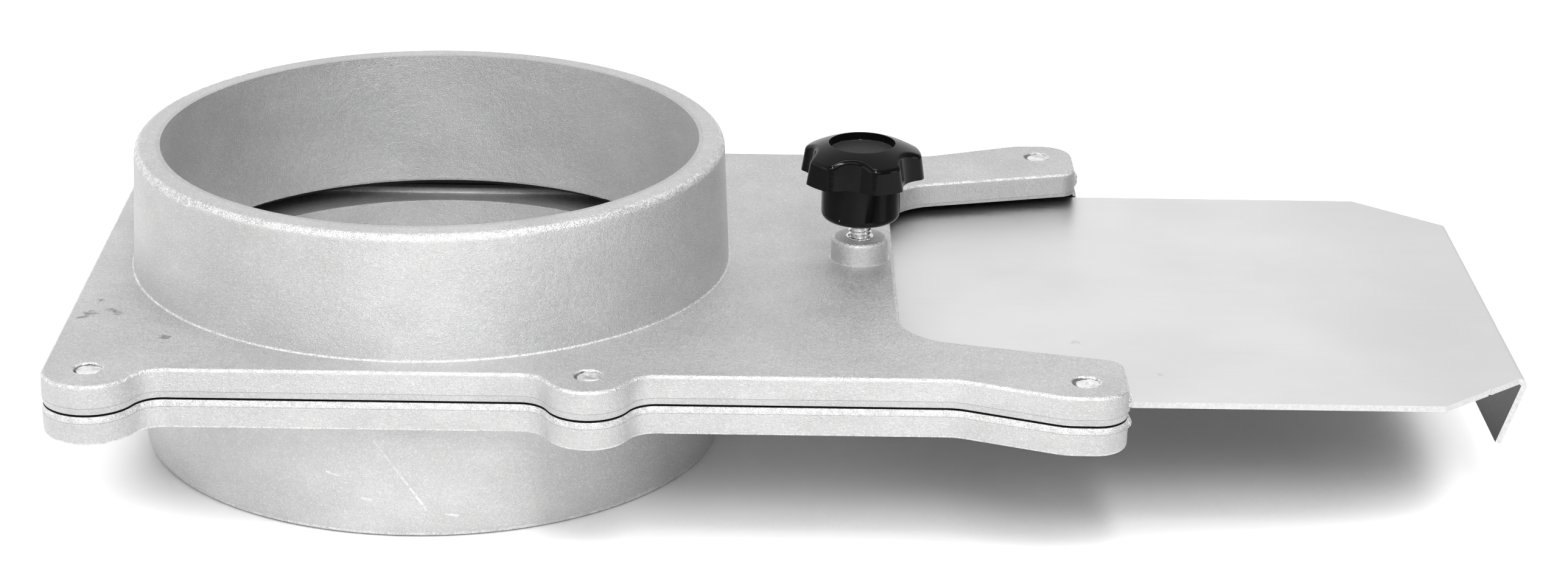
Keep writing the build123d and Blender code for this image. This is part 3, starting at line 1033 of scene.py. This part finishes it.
# %% Flash
FLASH_RUNS = {
    "front_upper": [
        (169.6, -84.6, 1.6),
        (169.9, -81.5, 2.0),
        (169.9, -77.5, 2.1),
        (169.8, -73.5, 1.4),
    ],
    "front_lower": [
        (168.6, -87.2, -2.6),
        (169.8, -83.4, -2.0),
        (169.9, -78.0, -3.0),
        (169.8, -73.6, -1.6),
    ],
    "back_upper": [
        (169.8, 72.5, 2.2),
        (169.9, 76.5, 3.4),
        (169.9, 80.5, 3.0),
        (169.6, 84.5, 1.8),
    ],
    "back_corner": [(169.0, 74.0, 1.0), (169.4, 74.2, 3.0), (169.0, 74.0, 5.0)],
    "back_lower": [(169.8, 73.0, -1.8), (169.9, 78.0, -2.4), (169.7, 84.0, -1.6)],
}
FLASH_STEP = 0.35 * MM
FLASH_THICKNESS = 0.9 * MM
FLASH_RAGGEDNESS = 2.2 * MM
FLASH_TAPER = 0.75
FLASH_NOISE = {"Scale": 900.0, "Detail": 3.0}
PROFILE_POINTS = 10


def make_flash_tree():
    """A ragged bead along a line of points, thinner towards its ends."""
    tree, start, end = geometry_tree(
        "flash_bead",
        {
            "Step": (FLOAT, 0.0004),
            "Thickness": (FLOAT, 0.0008),
            "Raggedness": (FLOAT, 0.0008),
            "Taper": (FLOAT, FLASH_TAPER),
            "Seed": (FLOAT, 0.0),
        },
    )
    curve = add(tree, "GeometryNodeMeshToCurve", {"Mesh": start["Geometry"]})
    evenly = {"Curve": curve.outputs[0], "Length": start["Step"]}
    path = add(tree, "GeometryNodeResampleCurve", evenly, mode="LENGTH")
    round_profile = {"Radius": start["Thickness"], "Resolution": PROFILE_POINTS}
    profile = add(tree, "GeometryNodeCurvePrimitiveCircle", round_profile)
    share = add(tree, "GeometryNodeSplineParameter").outputs["Factor"]
    ends = product(tree, share, calc(tree, "SUBTRACT", 1.0, share), 4.0)
    thin = calc(tree, "SUBTRACT", 1.0, start["Taper"])
    width = calc(tree, "MULTIPLY_ADD", ends, start["Taper"], thin)
    sweep = {
        "Curve": path.outputs[0],
        "Profile Curve": profile.outputs[0],
        "Scale": width,
        "Fill Caps": True,
    }
    tube = add(tree, "GeometryNodeCurveToMesh", sweep)
    place = add(tree, "GeometryNodeInputPosition").outputs[0]
    fine = {"Vector": place, **FLASH_NOISE}
    texture = add(tree, "ShaderNodeTexNoise", fine, noise_dimensions="4D")
    tree.links.new(start["Seed"], texture.inputs["W"])
    rough = roughen(tree, tube.outputs[0], start["Raggedness"], texture)
    end_tree(tree, start, end, rough, smooth=False)
    return tree


FLASH_TREE = make_flash_tree()
for number, (name, run) in enumerate(FLASH_RUNS.items()):
    places = [in_metres(p) for p in run]
    pairs = [(i, i + 1) for i in range(len(places) - 1)]
    bead = run_tree(
        new_object("flash_" + name, places, pairs),
        FLASH_TREE,
        {
            "Step": FLASH_STEP,
            "Thickness": FLASH_THICKNESS,
            "Raggedness": FLASH_RAGGEDNESS,
            "Taper": FLASH_TAPER,
            "Seed": float(number),
            "Material": CAST_ALUMINIUM,
        },
    )
    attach(bead, "housing")

# %% [markdown]
# ## The lip of the screw's hole
# Drilling and tapping the boss raised a thin bright lip around the hole, which shows as a ring
# at the foot of the thread. It is the same bead as the flash, but closed in a ring and nearly
# even, so the same tree makes it from a circle of points.

# %% Lip of the screw's hole
BOSS_TOP = 13.3 * MM
LIP_RADIUS = 3.2 * MM
LIP_POINTS = 48
LIP_STEP = 0.3 * MM
LIP_THICKNESS = 0.3 * MM
LIP_RAGGEDNESS = 0.25 * MM
LIP_SEED = 9.0


def ring_points(radius, height):
    """Points on a level circle around the screw."""
    for step in range(LIP_POINTS):
        angle = 2 * pi * step / LIP_POINTS
        yield (SCREW_CENTRE.x + radius * cos(angle), SCREW_CENTRE.y + radius * sin(angle), height)


lip_pairs = [(i, (i + 1) % LIP_POINTS) for i in range(LIP_POINTS)]
hole_lip = run_tree(
    new_object("hole_lip", ring_points(LIP_RADIUS, BOSS_TOP), lip_pairs),
    FLASH_TREE,
    {
        "Step": LIP_STEP,
        "Thickness": LIP_THICKNESS,
        "Raggedness": LIP_RAGGEDNESS,
        "Taper": 0.0,
        "Seed": LIP_SEED,
        "Material": SCREW_STEEL,
    },
)
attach(hole_lip, "housing")

# %% [markdown]
# ## The studio
# The photograph has a pure white background, and a deep soft shadow under the blade and the
# arms. A floor that glowed everywhere would wash that shadow out. So the floor glows only where
# nothing stands between it and the light. The ambient occlusion node measures that: its normal
# is tilted to the front and the left, where the photograph's light comes from, so it counts
# what is in that direction, and the shade follows the blade when the blade moves. The glow is
# seen by the camera, and more weakly by the metal's reflections.

# %% Floor
FLOOR_SIZE = 6.0
FLOOR_GLOW = 0.75
MIRRORED_GLOW = 0.5
LIGHT_WAY = Vector((-0.38, -0.76, 0.53))
SHADE_REACH = 0.2
SHADED_BELOW = 0.26
OPEN_ABOVE = 0.48
SHADE_SAMPLES = 12
FLOOR_GREY = 0.85
FLOOR_ROUGHNESS = 0.9


def floor_glow(tree):
    """The floor's glow, which fades where the way to the light is blocked."""
    reach = {"Distance": SHADE_REACH, "Normal": LIGHT_WAY}
    blocked = add(tree, "ShaderNodeAmbientOcclusion", reach, samples=SHADE_SAMPLES)
    rays = add(tree, "ShaderNodeLightPath").outputs
    direct = calc(tree, "MAXIMUM", rays["Is Camera Ray"], rays["Is Transmission Ray"])
    mirrored = product(tree, rays["Is Glossy Ray"], MIRRORED_GLOW)
    glow = calc(tree, "MAXIMUM", product(tree, direct, FLOOR_GLOW), mirrored)
    return product(tree, glow, remap(tree, blocked.outputs["AO"], SHADED_BELOW, OPEN_ABOVE))


def make_floor():
    """A wide level sheet under the gate, which belongs to the studio."""
    half = FLOOR_SIZE / 2
    around = [(-half, -half), (half, -half), (half, half), (-half, half)]
    corners = [(x, y, cad_box[0].z) for x, y in around]
    mesh = bpy.data.meshes.new("floor")
    mesh.from_pydata(corners, [], [(0, 1, 2, 3)])
    floor = bpy.data.objects.new("floor", mesh)
    bpy.context.scene.collection.objects.link(floor)
    material, tree, shader, _ = new_finish("floor_white", 0.0, FLOOR_ROUGHNESS)
    shader.inputs["Base Color"].default_value = grey(FLOOR_GREY)
    shader.inputs["Specular IOR Level"].default_value = 0.0
    shader.inputs["Emission Color"].default_value = grey(1.0)
    tree.links.new(floor_glow(tree), shader.inputs["Emission Strength"])
    mesh.materials.append(material)


make_floor()

# %% [markdown]
# ## World and lamps
# The shadow's edge lies about as far behind the blade's edge as the blade is high, so the two
# main lamps, a tall one and a wide one, stand in front at about 45 degrees. Weaker lamps light
# the sides of the collars from the left and the right, and one above lights the level faces.
# The metal mirrors a white wall behind the gate, and a dimmer room above it, in front of it and
# to its right. So the world is white for the camera, graded by direction for reflections, and
# low and even for all else.

# %% World and lamps
ROOM_LIGHT = 0.14
WALL_LIGHT = 1.0
FRONT_DROP = 0.72
CEILING_DROP = 0.25
RIGHT_DROP = 0.72
# Each lamp's place, the place that it faces, its width and height, and its power in watts.
LAMPS = {
    "tall_softbox": ((0.2, -0.98, 1.13), (0.1, 0.0, 0.0), (0.18, 0.85), 11.0),
    "wide_softbox": ((0.1, -1.2, 0.9), (0.1, 0.0, 0.0), (1.8, 0.5), 6.5),
    "left_softbox": ((-1.15, -0.5, 0.45), (0.0, 0.0, 0.0), (0.9, 0.7), 2.2),
    "right_softbox": ((1.25, -0.5, 0.3), (0.1, 0.0, 0.0), (0.5, 0.5), 1.4),
    "top_softbox": ((0.12, -0.05, 1.3), (0.1, 0.0, 0.0), (0.6, 0.3), 2.7),
}


def room_reflection(tree):
    """White behind the gate, dimmer towards the ceiling, the front and the right."""
    parts = split(tree, add(tree, "ShaderNodeTexCoord").outputs["Generated"])
    front = remap(tree, parts["Y"], 0.1, -0.95, 0.0, FRONT_DROP)
    ceiling = remap(tree, parts["Z"], 0.2, 0.9, 0.0, CEILING_DROP)
    right = remap(tree, parts["X"], 0.3, 0.9, 0.0, RIGHT_DROP)
    drop = calc(tree, "ADD", calc(tree, "ADD", front, ceiling), right)
    return calc(tree, "SUBTRACT", WALL_LIGHT, drop, clamp=True)


def make_world():
    """White for the camera, graded for reflections, and low for all else."""
    world = bpy.data.worlds.new("studio")
    bpy.context.scene.world = world
    world.use_nodes = True
    tree = world.node_tree
    shader = tree.nodes["Background"]
    shader.inputs["Color"].default_value = grey(1.0)
    rays = add(tree, "ShaderNodeLightPath").outputs
    plain = calc(tree, "MAXIMUM", rays["Is Camera Ray"], rays["Is Transmission Ray"])
    mirrored = product(tree, rays["Is Glossy Ray"], room_reflection(tree))
    tree.links.new(several(tree, [plain, mirrored, ROOM_LIGHT]), shader.inputs["Strength"])


def make_lamp(name, place, target, size, power):
    """A soft lamp of a width and a height that faces a place."""
    data = bpy.data.lights.new(name, "AREA")
    data.shape = "RECTANGLE"
    data.size, data.size_y = size
    data.energy = power
    lamp = bpy.data.objects.new(name, data)
    lamp.location = place
    lamp.rotation_euler = (Vector(target) - Vector(place)).to_track_quat("-Z", "Y").to_euler()
    bpy.context.scene.collection.objects.link(lamp)


make_world()
for name, settings in LAMPS.items():
    make_lamp(name, *settings)
bpy.context.scene.view_settings.view_transform = "Standard"
print("lamps:", list(LAMPS))
